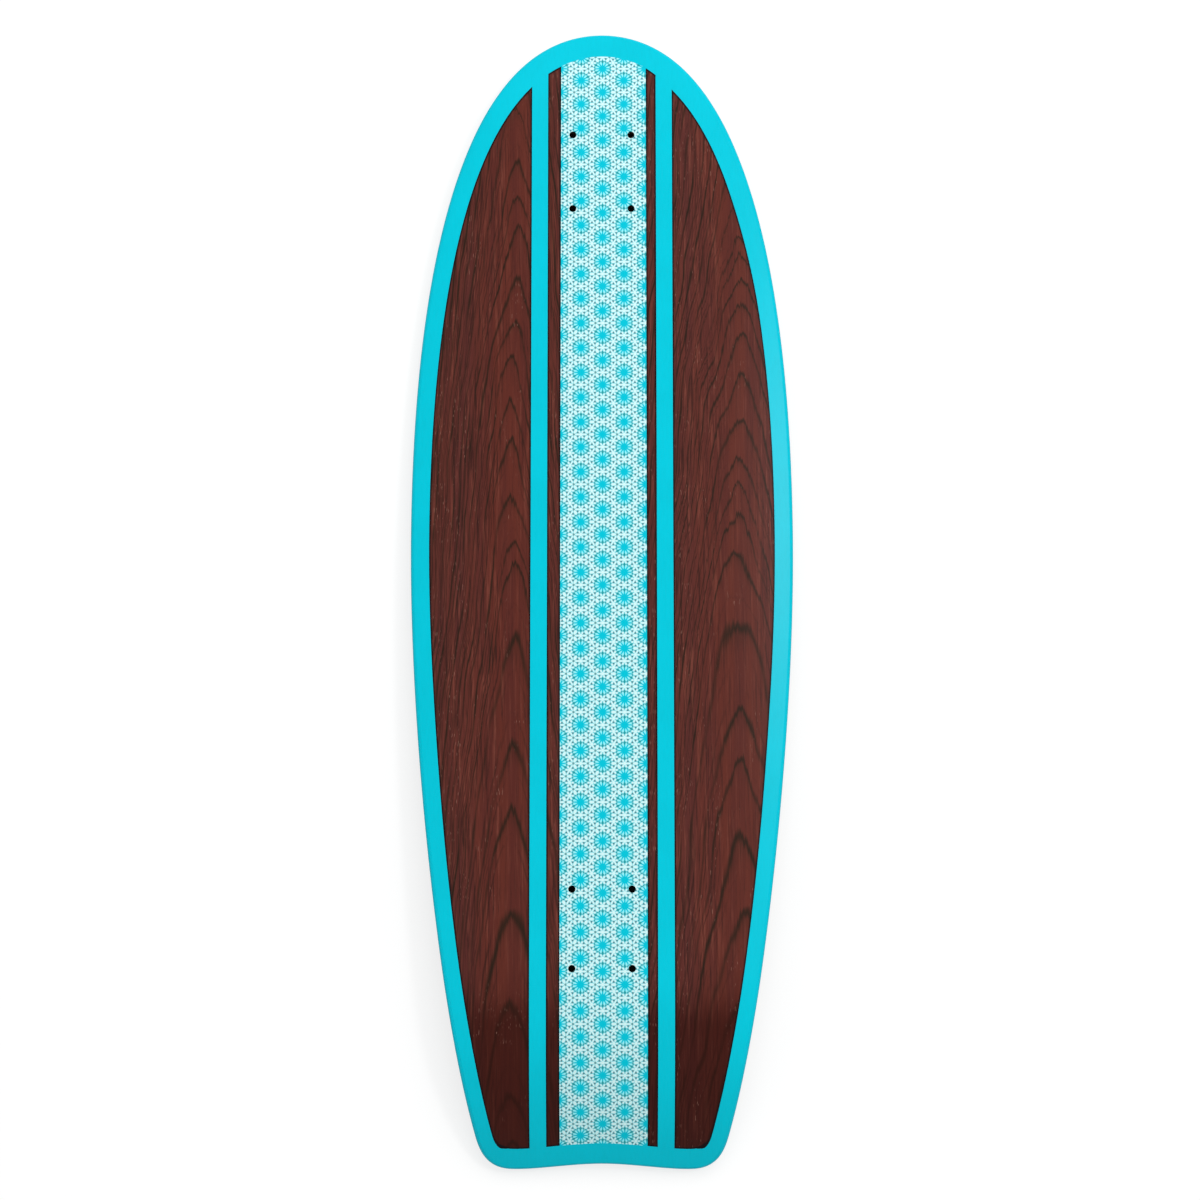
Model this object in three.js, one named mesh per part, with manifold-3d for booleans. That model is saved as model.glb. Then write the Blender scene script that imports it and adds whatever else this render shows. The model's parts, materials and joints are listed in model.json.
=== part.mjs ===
// A surf-style skateboard deck on its own, without trucks, wheels or bolts.
// Seven veneers are glued and pressed into one curved sheet, sawn to the outline, rounded along the edge
// and painted there. The underside carries printed bands and a printed centre panel, and the riding side
// carries a sheet of grip. The deck lies with its printed underside up and its nose towards +Y.

import * as THREE from 'three';
import { mergeVertices } from 'three/addons/utils/BufferGeometryUtils.js';
import Module from 'manifold-3d';

const wasm = await Module();
wasm.setup();

// Outline, measured along the sheet from the middle of the wheelbase
const noseReach = 370.2;
const tailReach = 440.8;
const halfWidth = 135.1;
const widestPlace = 3.8;
const shoulderHalfWidth = 87.3;
const cornerLength = 25.5;
const lobeSpread = 62;
const notchDepth = 4.9;

// Pull of the outline's curves, as shares of the lengths that they span
const noseRoundShare = 0.543;
const frontSideShare = 0.72;
const backSideShare = 0.3;
const shoulderShare = 0.285;
const shoulderSpreadShare = 0.42;
const cornerPullShare = 0.7;
const lobeRoundShare = 0.55;
const lobeFlatShare = 0.29;
const notchFlatShare = 0.32;

// Press: flat in the middle, with raised rails, a kicked tail and a slightly lifted nose
const concaveFlat = 45;
const concaveRadius = 400;
const kickStart = 300;
const kickRadius = 225;
const noseLiftStart = 302;
const noseLiftRadius = 600;

// Layers
const plyThickness = 1.5;
const glueLine = 0.05;
const plyNames = [
  'underside_face_ply', 'underside_long_ply', 'underside_cross_ply', 'core_ply',
  'riding_cross_ply', 'riding_long_ply', 'riding_face_ply',
];
const edgeRadius = 3;
const edgeStepShare = 0.4;
const gripThickness = 0.8;
const printThickness = 0.15;
const paintThickness = 0.15;

// Truck bolt holes: two sets of four
const wheelbase = 534.3;
const boltLength = 53.98;
const boltWidth = 41.28;
const boltHole = 5;
const boltHoleSides = 10;

// Printed bands
const frontBorderWidth = 13.8;
const backBorderWidth = 12.2;
const borderTaperLength = 300;
const noseBorderExtra = 3.6;
const tailBorderExtra = 6;
const endFacingShare = 0.2;
const stripeWidth = 11.4;
const stripeCentre = 44;
const panelWidth = 60.3;
const panelShift = 1.1;
const printSeam = 0.3;

// How far a cutter passes what it cuts
const overrun = 20;

// Facets: where the rows and columns of the sheet lie, as shares of the curve that each list follows
const columnShares = [0, 0.17, 0.335, 0.56, 0.78, 1];
const tailEdgeShares = [0, 0.38, 0.72, 1];
const tailCornerShares = [0.25, 0.5];
const sideCornerShares = [0.5, 0.75];
const backRowShares = [0, 0.044, 0.09, 0.136, 0.182, 0.228, 0.274, 0.39, 0.52, 0.68, 0.84];
const frontRowShares = [0, 0.15, 0.3, 0.44, 0.57, 0.66, 0.74, 0.81];
const noseShares = [0.81, 0.846, 0.884, 0.922, 0.961, 1];
const rowBlendShare = 0.45;
const borderPointsPerCurve = 12;

const rootPosition = new THREE.Vector3();

// Right half of the outline, from the tail notch round to the nose tip, as x along the sheet and y across it
function outlineCurves() {
  const notch = new THREE.Vector2(notchDepth - tailReach, 0);
  const lobe = new THREE.Vector2(-tailReach, lobeSpread);
  const shoulder = new THREE.Vector2(cornerLength - tailReach, shoulderHalfWidth);
  const widest = new THREE.Vector2(widestPlace, halfWidth);
  const tip = new THREE.Vector2(noseReach, 0);
  const back = widest.x - shoulder.x;
  const front = tip.x - widest.x;
  const taper = halfWidth - shoulderHalfWidth;
  const shoulderHandle = new THREE.Vector2(
    shoulder.x + back * shoulderShare, halfWidth - taper * shoulderSpreadShare);
  const slope = (shoulderHandle.y - shoulder.y) / (shoulderHandle.x - shoulder.x);
  const cornerPull = cornerLength * cornerPullShare;

  const tailEdge = new THREE.CubicBezierCurve(
    notch,
    new THREE.Vector2(notch.x, lobeSpread * notchFlatShare),
    new THREE.Vector2(lobe.x, lobeSpread * (1 - lobeFlatShare)),
    lobe);
  const corner = new THREE.CubicBezierCurve(
    lobe,
    new THREE.Vector2(lobe.x, lobeSpread + (shoulderHalfWidth - lobeSpread) * lobeRoundShare),
    new THREE.Vector2(shoulder.x - cornerPull, shoulder.y - cornerPull * slope),
    shoulder);
  const backSide = new THREE.CubicBezierCurve(
    shoulder,
    shoulderHandle,
    new THREE.Vector2(widest.x - back * backSideShare, halfWidth),
    widest);
  const frontSide = new THREE.CubicBezierCurve(
    widest,
    new THREE.Vector2(widest.x + front * frontSideShare, halfWidth),
    new THREE.Vector2(tip.x, halfWidth * noseRoundShare),
    tip);
  return { tailEdge, corner, backSide, frontSide };
}

const outline = outlineCurves();

// A place on the outline, with the direction that leads outwards from it
function outlineNode(curve, share) {
  const place = curve.getPointAt(share);
  const along = curve.getTangentAt(share);
  const outward = new THREE.Vector2(-along.y, along.x);
  return { place, outward };
}

function mirrored(node) {
  const place = new THREE.Vector2(node.place.x, -node.place.y);
  const outward = new THREE.Vector2(node.outward.x, -node.outward.y);
  return { place, outward };
}

function offsetPlace(node, distance) {
  return node.place.clone().addScaledVector(node.outward, distance);
}

// A point of the pressed sheet, from its place along and across the flat sheet and its depth under the
// printed face. The sheet bends about lines on the riding side, so deeper layers have tighter bends.
function pressed(along, across, depth) {
  const beyond = Math.max(Math.abs(across) - concaveFlat, 0);
  const lean = beyond / concaveRadius;
  const level = Math.min(Math.abs(across), concaveFlat);
  const x = Math.sign(across) * (level + (concaveRadius - depth) * Math.sin(lean));
  const drop = concaveRadius - (concaveRadius - depth) * Math.cos(lean);
  if (along < -kickStart) {
    const turn = (-kickStart - along) / kickRadius;
    const y = -kickStart - (kickRadius - drop) * Math.sin(turn);
    return new THREE.Vector3(x, y, (kickRadius - drop) * Math.cos(turn) - kickRadius);
  }
  if (along > noseLiftStart) {
    const turn = (along - noseLiftStart) / noseLiftRadius;
    const y = noseLiftStart + (noseLiftRadius - drop) * Math.sin(turn);
    return new THREE.Vector3(x, y, (noseLiftRadius - drop) * Math.cos(turn) - noseLiftRadius);
  }
  return new THREE.Vector3(x, along, -drop);
}

const stackDepth = plyNames.length * plyThickness + (plyNames.length - 1) * glueLine;

// How far the rounded edge lies inside the outline at a depth
function edgeInset(depth) {
  const nearFace = Math.min(depth, stackDepth - depth);
  const rise = Math.max(edgeRadius - Math.max(nearFace, 0), 0);
  return edgeRadius - Math.sqrt(edgeRadius ** 2 - rise ** 2);
}

// Outline nodes of the sheet's grid: its side, its tail edge and its nose edge
const sideNodes = [
  ...sideCornerShares.map((share) => outlineNode(outline.corner, share)),
  ...backRowShares.map((share) => outlineNode(outline.backSide, share)),
  ...frontRowShares.map((share) => outlineNode(outline.frontSide, share)),
];
const tailNodes = [
  ...tailEdgeShares.map((share) => outlineNode(outline.tailEdge, share)),
  ...tailCornerShares.map((share) => outlineNode(outline.corner, share)),
];
const noseNodes = noseShares.map((share) => outlineNode(outline.frontSide, share)).reverse();

const columnsPerHalf = columnShares.length - 1;
const columns = 2 * columnsPerHalf;
const rows = sideNodes.length - 1;

// How strongly a row follows the curved end of the sheet that it lies near
function endBlend(along, end) {
  const reach = Math.abs(end) * rowBlendShare;
  return Math.max(1 - Math.abs(end - along) / reach, 0);
}

// Place of a grid node inside the outline, as a blend of straight rows and the two curved ends
function innerPlace(row, column) {
  const side = sideNodes[row].place;
  const place = new THREE.Vector2(side.x, side.y * columnShares[column]);
  for (const endNodes of [tailNodes, noseNodes]) {
    const end = endNodes[columnsPerHalf].place;
    const bulge = endNodes[column].place.clone();
    bulge.sub(new THREE.Vector2(end.x, end.y * columnShares[column]));
    place.addScaledVector(bulge, endBlend(side.x, end.x));
  }
  return place;
}

// Node of the whole grid: an outline node on the rim, and a fixed place inside it
function gridNode(row, column) {
  const half = Math.abs(column - columnsPerHalf);
  let node;
  if (row === 0) {
    node = tailNodes[half];
  } else if (row === rows) {
    node = noseNodes[half];
  } else if (half === columnsPerHalf) {
    node = sideNodes[row];
  } else {
    node = { place: innerPlace(row, half), outward: new THREE.Vector2() };
  }
  return column < columnsPerHalf ? mirrored(node) : node;
}

// The rim of the grid in turn: tail, right side, nose, left side
function rimNodes() {
  const rim = [];
  for (let column = 0; column < columns; column += 1) {
    rim.push([0, column]);
  }
  for (let row = 0; row < rows; row += 1) {
    rim.push([row, columns]);
  }
  for (let column = columns; column > 0; column -= 1) {
    rim.push([rows, column]);
  }
  for (let row = rows; row > 0; row -= 1) {
    rim.push([row, 0]);
  }
  return rim;
}

const rim = rimNodes();

function geometryFrom(points, triangles) {
  const geometry = new THREE.BufferGeometry();
  geometry.setAttribute('position', new THREE.Float32BufferAttribute(points.flatMap((p) => p.toArray()), 3));
  geometry.setIndex(triangles.flat());
  return geometry;
}

// One layer of the sheet between its first and last depth. The depths between them only shape its edge.
function sheetLayer(depths, insetAt) {
  const points = [];
  const triangles = [];
  const faceSize = (rows + 1) * (columns + 1);
  const faceIndex = (row, column) => row * (columns + 1) + column;

  for (const depth of [depths[0], depths.at(-1)]) {
    for (let row = 0; row <= rows; row += 1) {
      for (let column = 0; column <= columns; column += 1) {
        const place = offsetPlace(gridNode(row, column), -insetAt(depth));
        points.push(pressed(place.x, place.y, depth));
      }
    }
  }
  for (let row = 0; row < rows; row += 1) {
    for (let column = 0; column < columns; column += 1) {
      const a = faceIndex(row, column);
      const b = faceIndex(row, column + 1);
      const c = faceIndex(row + 1, column + 1);
      const d = faceIndex(row + 1, column);
      const towardsNose = row >= rows / 2;
      const towardsRight = column >= columnsPerHalf;
      const split = towardsNose === towardsRight ? [[a, b, c], [a, c, d]] : [[a, b, d], [b, c, d]];
      for (const [p, q, r] of split) {
        triangles.push([p, q, r]);
        triangles.push([faceSize + r, faceSize + q, faceSize + p]);
      }
    }
  }

  const rings = depths.map((depth, level) => {
    if (level === 0) {
      return rim.map(([row, column]) => faceIndex(row, column));
    }
    if (level === depths.length - 1) {
      return rim.map(([row, column]) => faceSize + faceIndex(row, column));
    }
    return rim.map(([row, column]) => {
      const place = offsetPlace(gridNode(row, column), -insetAt(depth));
      points.push(pressed(place.x, place.y, depth));
      return points.length - 1;
    });
  });
  for (let level = 1; level < rings.length; level += 1) {
    const upper = rings[level - 1];
    const lower = rings[level];
    for (let k = 0; k < rim.length; k += 1) {
      const next = (k + 1) % rim.length;
      triangles.push([upper[k], lower[k], lower[next]]);
      triangles.push([upper[k], lower[next], upper[next]]);
    }
  }
  return geometryFrom(points, triangles);
}

function solidOf(geometry) {
  const bare = geometry.clone();
  bare.deleteAttribute('normal');
  bare.deleteAttribute('uv');
  const merged = mergeVertices(bare);
  const mesh = new wasm.Mesh({
    numProp: 3,
    vertProperties: new Float32Array(merged.attributes.position.array),
    triVerts: new Uint32Array(merged.index.array),
  });
  return new wasm.Manifold(mesh);
}

function geometryOf(solid) {
  const mesh = solid.getMesh();
  const geometry = new THREE.BufferGeometry();
  geometry.setAttribute('position', new THREE.Float32BufferAttribute(mesh.vertProperties, 3));
  geometry.setIndex(new THREE.Uint32BufferAttribute(mesh.triVerts, 1));
  return geometry;
}

// A cutter that stands upright on the flat drawing of a shape and passes the whole sheet
function uprightCutter(points) {
  const geometry = new THREE.ExtrudeGeometry(new THREE.Shape(points), {
    depth: 2 * (kickRadius + overrun),
    bevelEnabled: false,
  });
  geometry.translate(0, 0, -(kickRadius + overrun));
  return solidOf(geometry);
}

function boltHoleCutter() {
  const height = 2 * (stackDepth + overrun);
  const drill = new THREE.CylinderGeometry(boltHole / 2, boltHole / 2, height, boltHoleSides);
  drill.rotateX(Math.PI / 2);
  let cutter = null;
  for (const truck of [-1, 1]) {
    for (const end of [-1, 1]) {
      for (const side of [-1, 1]) {
        const y = truck * wheelbase / 2 + end * boltLength / 2;
        const hole = solidOf(drill.clone().translate(side * boltWidth / 2, y, 0));
        cutter = cutter ? cutter.add(hole) : hole;
      }
    }
  }
  return cutter;
}

const boltHoles = boltHoleCutter();

function drilled(geometry) {
  return geometryOf(solidOf(geometry).subtract(boltHoles));
}

// Width of the border at a node: narrower beside the tail, and wider where the outline faces either end
function borderWidth(node) {
  const taperShare = THREE.MathUtils.clamp(-node.place.x / borderTaperLength, 0, 1);
  const beside = THREE.MathUtils.lerp(frontBorderWidth, backBorderWidth, taperShare);
  const extra = node.outward.x > 0 ? noseBorderExtra : tailBorderExtra;
  return beside + extra * THREE.MathUtils.smoothstep(Math.abs(node.outward.x), endFacingShare, 1);
}

// The inner edge of the printed border, seen from above
function borderInside(seam) {
  const half = [];
  const curves = [outline.tailEdge, outline.corner, outline.backSide, outline.frontSide];
  for (const curve of curves) {
    for (let step = 0; step < borderPointsPerCurve; step += 1) {
      half.push(outlineNode(curve, step / borderPointsPerCurve));
    }
  }
  half.push(outlineNode(outline.frontSide, 1));
  const others = half.slice(1, -1).reverse().map(mirrored);
  return [...half, ...others].map((node) => {
    const place = offsetPlace(node, -(borderWidth(node) + seam));
    const point = pressed(place.x, place.y, 0);
    return new THREE.Vector2(point.x, point.y);
  });
}

function bandCutter(left, right) {
  const reach = noseReach + tailReach;
  return uprightCutter([
    new THREE.Vector2(left, -reach),
    new THREE.Vector2(right, -reach),
    new THREE.Vector2(right, reach),
    new THREE.Vector2(left, reach),
  ]);
}

const printBlank = solidOf(sheetLayer([-glueLine - printThickness, -glueLine], () => edgeInset(0)));

function borderPrint() {
  return geometryOf(printBlank.subtract(uprightCutter(borderInside(0))));
}

// A printed band between two lengthwise lines, which ends at the border
function bandPrint(left, right) {
  const inside = uprightCutter(borderInside(printSeam));
  return geometryOf(printBlank.intersect(inside).intersect(bandCutter(left, right)).subtract(boltHoles));
}

// The coat of paint round the edge, as a closed band that follows the rounded edge of the stack
function edgePaint() {
  const step = plyThickness * edgeStepShare;
  const nearFace = [0, step, plyThickness, 2 * plyThickness + glueLine];
  const nearRiding = nearFace.map((depth) => stackDepth - depth).reverse();
  const depths = [...nearFace, ...nearRiding];
  const section = [
    ...depths.map((depth) => [glueLine + paintThickness, depth]),
    ...depths.toReversed().map((depth) => [glueLine, depth]),
  ];
  const points = [];
  const triangles = [];
  for (const [row, column] of rim) {
    for (const [stand, depth] of section) {
      const place = offsetPlace(gridNode(row, column), stand - edgeInset(depth));
      points.push(pressed(place.x, place.y, depth));
    }
  }
  const size = section.length;
  for (let k = 0; k < rim.length; k += 1) {
    const here = k * size;
    const there = ((k + 1) % rim.length) * size;
    for (let m = 0; m < size; m += 1) {
      const n = (m + 1) % size;
      const goesDown = m < depths.length;
      if (goesDown) {
        triangles.push([here + m, here + n, there + n], [here + m, there + n, there + m]);
      } else {
        triangles.push([here + m, here + n, there + m], [here + n, there + n, there + m]);
      }
    }
  }
  return geometryFrom(points, triangles);
}

const finishes = {
  darkVeneer: new THREE.MeshStandardMaterial({ color: 0x5b312b, roughness: 0.45, metalness: 0 }),
  maple: new THREE.MeshStandardMaterial({ color: 0xd9b382, roughness: 0.6, metalness: 0 }),
  maplePale: new THREE.MeshStandardMaterial({ color: 0xe4c69a, roughness: 0.6, metalness: 0 }),
  cyanInk: new THREE.MeshStandardMaterial({ color: 0x01cbe1, roughness: 0.3, metalness: 0 }),
  panelInk: new THREE.MeshStandardMaterial({ color: 0xb4ecf2, roughness: 0.35, metalness: 0 }),
  grip: new THREE.MeshStandardMaterial({ color: 0x1b1b1c, roughness: 0.95, metalness: 0 }),
};

function piece(name, geometry, material) {
  const mesh = new THREE.Mesh(geometry, material);
  mesh.name = name;
  return mesh;
}

function plies() {
  const group = new THREE.Group();
  plyNames.forEach((name, order) => {
    const top = order * (plyThickness + glueLine);
    const bottom = top + plyThickness;
    const step = plyThickness * edgeStepShare;
    let depths = [top, bottom];
    if (order === 0) {
      depths = [top, top + step, bottom];
    }
    if (order === plyNames.length - 1) {
      depths = [top, bottom - step, bottom];
    }
    const isCross = name.includes('cross');
    const material = order === 0 ? finishes.darkVeneer : isCross ? finishes.maplePale : finishes.maple;
    group.add(piece(name, drilled(sheetLayer(depths, edgeInset)), material));
  });
  return group;
}

function prints() {
  const group = new THREE.Group();
  const stripeInner = stripeCentre - stripeWidth / 2;
  const stripeOuter = stripeCentre + stripeWidth / 2;
  group.add(piece('border_print', borderPrint(), finishes.cyanInk));
  group.add(piece('left_stripe_print', bandPrint(-stripeOuter, -stripeInner), finishes.cyanInk));
  group.add(piece('right_stripe_print', bandPrint(stripeInner, stripeOuter), finishes.cyanInk));
  const panel = bandPrint(panelShift - panelWidth / 2, panelShift + panelWidth / 2);
  group.add(piece('centre_panel_print', panel, finishes.panelInk));
  return group;
}

function gripSheet() {
  const top = stackDepth + glueLine;
  return piece('grip_sheet', sheetLayer([top, top + gripThickness], () => edgeInset(0)), finishes.grip);
}

// The deck, moved so that the middle of its underside box is the origin
function deck() {
  const group = new THREE.Group();
  group.add(plies());
  group.add(gripSheet());
  group.add(prints());
  group.add(piece('edge_paint', edgePaint(), finishes.cyanInk));
  const box = new THREE.Box3().setFromObject(group);
  box.getCenter(rootPosition);
  rootPosition.z = box.min.z;
  group.position.sub(rootPosition);
  return group;
}

export default deck();
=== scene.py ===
import json
import math

import bpy
import numpy as np
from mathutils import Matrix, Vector


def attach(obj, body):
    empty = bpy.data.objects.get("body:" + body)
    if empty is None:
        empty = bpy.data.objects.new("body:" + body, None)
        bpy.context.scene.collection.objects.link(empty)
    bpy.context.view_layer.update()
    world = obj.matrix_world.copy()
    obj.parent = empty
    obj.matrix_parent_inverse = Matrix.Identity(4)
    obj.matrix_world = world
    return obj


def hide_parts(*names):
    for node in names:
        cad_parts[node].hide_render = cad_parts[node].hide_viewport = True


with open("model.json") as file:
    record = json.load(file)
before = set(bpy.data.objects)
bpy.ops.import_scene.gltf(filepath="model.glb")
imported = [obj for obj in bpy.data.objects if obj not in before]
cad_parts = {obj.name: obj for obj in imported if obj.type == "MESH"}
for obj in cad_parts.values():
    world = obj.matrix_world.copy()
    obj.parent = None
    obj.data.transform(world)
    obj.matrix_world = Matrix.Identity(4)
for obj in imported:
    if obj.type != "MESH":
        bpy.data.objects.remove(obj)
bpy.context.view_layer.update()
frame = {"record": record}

# Camera. It looks down on the printed side of the deck from about two metres, a little from the tail,
# with the nose at the top of the picture. Lengths in this script are millimetres, and its own places
# count from the middle between the two sets of bolt holes, on the wood under the print.

MM = 0.001
GLUE_LINE = 0.05
PRINT_THICKNESS = 0.15
CAMERA_BACK = 326.75
CAMERA_ABOVE = 1967.7
CAMERA_LEFT = 1.37
CAMERA_TILT_RADIANS = 0.14463
CAMERA_LENS = 85.887

truck_pads = {mount["name"]: Vector(mount["pos_m"]) / MM for mount in frame["record"]["mounts"]}
front_pad = truck_pads["front_truck_pad"]
rear_pad = truck_pads["rear_truck_pad"]
middle_y = (front_pad.y + rear_pad.y) / 2
wood_z = front_pad.z - GLUE_LINE - PRINT_THICKNESS

camera = bpy.data.objects.new("camera", bpy.data.cameras.new("camera"))
camera.data.lens = CAMERA_LENS
camera.location = Vector((-CAMERA_LEFT, middle_y - CAMERA_BACK, wood_z + CAMERA_ABOVE)) * MM
camera.rotation_euler = (CAMERA_TILT_RADIANS, 0, 0)
bpy.context.scene.collection.objects.link(camera)
bpy.context.scene.camera = camera
bpy.context.scene.view_settings.view_transform = "Standard"

# Underside face veneer. One sheet of wood, stained dark red-brown and lacquered, the outermost of seven
# that are glued and squeezed in a mould. The mould dishes the stack across, kicks the tail and lifts the
# nose a little. Then the outline is sawn, the edge is rounded and the eight bolt holes are drilled.

CONCAVE_FLAT = 45
CONCAVE_RADIUS = 400
KICK_START = 300
KICK_RADIUS = 225
NOSE_LIFT_START = 302
NOSE_LIFT_RADIUS = 600


def press(places, depth):
    """Bends places on the flat sheet, along and across it, as the mould bends them. Depth goes down from
    the printed wood."""
    along, across = places[:, 0], places[:, 1]
    lean = np.maximum(np.abs(across) - CONCAVE_FLAT, 0) / CONCAVE_RADIUS
    level = np.minimum(np.abs(across), CONCAVE_FLAT)
    x = np.sign(across) * (level + (CONCAVE_RADIUS - depth) * np.sin(lean))
    drop = CONCAVE_RADIUS - (CONCAVE_RADIUS - depth) * np.cos(lean)
    turn = (-KICK_START - along) / KICK_RADIUS
    arm = KICK_RADIUS - drop
    y = np.where(turn > 0, -KICK_START - arm * np.sin(turn), along)
    z = np.where(turn > 0, arm * np.cos(turn) - KICK_RADIUS, -drop)
    turn = (along - NOSE_LIFT_START) / NOSE_LIFT_RADIUS
    arm = NOSE_LIFT_RADIUS - drop
    y = np.where(turn > 0, NOSE_LIFT_START + arm * np.sin(turn), y)
    z = np.where(turn > 0, arm * np.cos(turn) - NOSE_LIFT_RADIUS, z)
    return np.stack([x, y + middle_y, z + wood_z], -1)


def unpress(points):
    """The places on the flat sheet, along and across it, of points on the bent one."""
    x, y, z = points[:, 0], points[:, 1] - middle_y, points[:, 2] - wood_z
    arm = np.hypot(y + KICK_START, z + KICK_RADIUS)
    turn = np.arctan2(-KICK_START - y, z + KICK_RADIUS)
    drop = np.where(y < -KICK_START, KICK_RADIUS - arm, -z)
    along = np.where(y < -KICK_START, -KICK_START - KICK_RADIUS * turn, y)
    arm = np.hypot(y - NOSE_LIFT_START, z + NOSE_LIFT_RADIUS)
    turn = np.arctan2(y - NOSE_LIFT_START, z + NOSE_LIFT_RADIUS)
    drop = np.where(y > NOSE_LIFT_START, NOSE_LIFT_RADIUS - arm, drop)
    along = np.where(y > NOSE_LIFT_START, NOSE_LIFT_START + NOSE_LIFT_RADIUS * turn, along)
    lean = np.arctan2(np.maximum(np.abs(x) - CONCAVE_FLAT, 0), CONCAVE_RADIUS - drop)
    return along, np.sign(x) * (np.minimum(np.abs(x), CONCAVE_FLAT) + CONCAVE_RADIUS * lean)


NOSE_REACH = 370.2
TAIL_REACH = 440.8
HALF_WIDTH = 135.1
WIDEST_PLACE = 3.8
SHOULDER_HALF_WIDTH = 87.3
CORNER_LENGTH = 25.5
LOBE_SPREAD = 62
NOTCH_DEPTH = 4.9
CURVE_STEPS = 400

# The outline's smooth curves are drawn out at their ends by these shares of the lengths that they span.

NOTCH_PULLS = (0.32, 0.71)
LOBE_PULL = 0.55
CORNER_PULL = 0.7
SHOULDER_PULL = (0.285, 0.42)
BACK_PULL = 0.3
FRONT_PULL = 0.72
TIP_PULL = 0.543


def curve(*pulls):
    """Points of a smooth curve between two ends, drawn towards the two places between them."""
    start, first, second, end = (np.array(pull) for pull in pulls)
    done = np.linspace(0, 1, CURVE_STEPS, endpoint=False)[:, None]
    left = 1 - done
    return left**3 * start + 3 * left**2 * done * first + 3 * left * done**2 * second + done**3 * end


def draw_right_side():
    """The sawn outline from the tail notch up the right side to the tip of the nose, along and across."""
    back = WIDEST_PLACE + TAIL_REACH - CORNER_LENGTH
    front = NOSE_REACH - WIDEST_PLACE
    notch = (NOTCH_DEPTH - TAIL_REACH, 0)
    lobe = (-TAIL_REACH, LOBE_SPREAD)
    shoulder = (CORNER_LENGTH - TAIL_REACH, SHOULDER_HALF_WIDTH)
    widest = (WIDEST_PLACE, HALF_WIDTH)
    tip = (NOSE_REACH, 0)
    notch_pull = (notch[0], NOTCH_PULLS[0] * LOBE_SPREAD)
    edge_pull = (lobe[0], NOTCH_PULLS[1] * LOBE_SPREAD)
    lobe_pull = (lobe[0], LOBE_SPREAD + LOBE_PULL * (SHOULDER_HALF_WIDTH - LOBE_SPREAD))
    flare = SHOULDER_PULL[1] * (HALF_WIDTH - SHOULDER_HALF_WIDTH)
    shoulder_pull = (shoulder[0] + SHOULDER_PULL[0] * back, HALF_WIDTH - flare)
    slope = (shoulder_pull[1] - shoulder[1]) / (shoulder_pull[0] - shoulder[0])
    corner_reach = CORNER_PULL * CORNER_LENGTH
    corner_pull = (shoulder[0] - corner_reach, shoulder[1] - corner_reach * slope)
    back_pull = (WIDEST_PLACE - BACK_PULL * back, HALF_WIDTH)
    front_pull = (WIDEST_PLACE + FRONT_PULL * front, HALF_WIDTH)
    tip_pull = (tip[0], TIP_PULL * HALF_WIDTH)
    tail_edge = curve(notch, notch_pull, edge_pull, lobe)
    corner = curve(lobe, lobe_pull, corner_pull, shoulder)
    back_side = curve(shoulder, shoulder_pull, back_pull, widest)
    front_side = curve(widest, front_pull, tip_pull, tip)
    return np.concatenate([tail_edge, corner, back_side, front_side, [tip]])


def evenly(path, count):
    """Places at even steps along a path."""
    length = np.concatenate([[0], np.cumsum(np.linalg.norm(np.diff(path, axis=0), axis=1))])
    steps = np.linspace(0, length[-1], count)
    return np.stack([np.interp(steps, length, path[:, axis]) for axis in (0, 1)], -1)


def outward(loop):
    """The direction out of a closed loop that runs from the tail up its right side."""
    ahead = np.roll(loop, -1, axis=0) - np.roll(loop, 1, axis=0)
    ahead /= np.linalg.norm(ahead, axis=1)[:, None]
    return np.stack([-ahead[:, 1], ahead[:, 0]], -1)


NOSE_ROW_HALF_WIDTH = 67
TAIL_ROW_HALF_WIDTH = 78
END_SHARE = 0.45
CORNER_ROWS = 16
SIDE_ROWS = 122
COLUMNS = 41
EDGE_CROWDING = 0.1


def lay_grid(right_side):
    """Rows and columns that fill the outline. The end rows follow its round ends, and the rest are
    straighter the nearer they lie to the middle."""
    first = np.argmax(right_side[:, 1] > TAIL_ROW_HALF_WIDTH)
    last = len(right_side) - 1 - np.argmax(right_side[::-1, 1] > NOSE_ROW_HALF_WIDTH)
    corner_end = 2 * CURVE_STEPS
    corner = evenly(right_side[first:corner_end + 1], CORNER_ROWS)
    rows = np.concatenate([corner[:-1], evenly(right_side[corner_end:last + 1], SIDE_ROWS)])
    steps = np.linspace(-1, 1, COLUMNS)
    share = steps + EDGE_CROWDING * np.sin(math.pi * steps)
    tail, nose = right_side[:first + 1], right_side[:last - 1:-1]
    tail_bulge = np.interp(np.abs(share) * rows[0, 1], tail[:, 1], tail[:, 0]) - rows[0, 0]
    nose_bulge = np.interp(np.abs(share) * rows[-1, 1], nose[:, 1], nose[:, 0]) - rows[-1, 0]
    near_tail = np.maximum(1 - (rows[:, 0] - rows[0, 0]) / (END_SHARE * -rows[0, 0]), 0)
    near_nose = np.maximum(1 - (rows[-1, 0] - rows[:, 0]) / (END_SHARE * rows[-1, 0]), 0)
    along = rows[:, :1] + near_tail[:, None] * tail_bulge + near_nose[:, None] * nose_bulge
    return np.stack([along, rows[:, 1:] * share], -1)


def rim_of(numbers):
    """The numbers round the rim of a grid, from its tail up its right side."""
    return np.concatenate([numbers[0, :-1], numbers[:-1, -1], numbers[-1, :0:-1], numbers[:0:-1, 0]])


def quads_of(numbers):
    """The four corners of every cell of a grid."""
    corners = [numbers[:-1, :-1], numbers[:-1, 1:], numbers[1:, 1:], numbers[1:, :-1]]
    return np.stack(corners, -1).reshape(-1, 4)


def wall_between(above, below):
    """The faces between two rings."""
    return np.stack([above, below, np.roll(below, -1), np.roll(above, -1)], -1)


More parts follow.
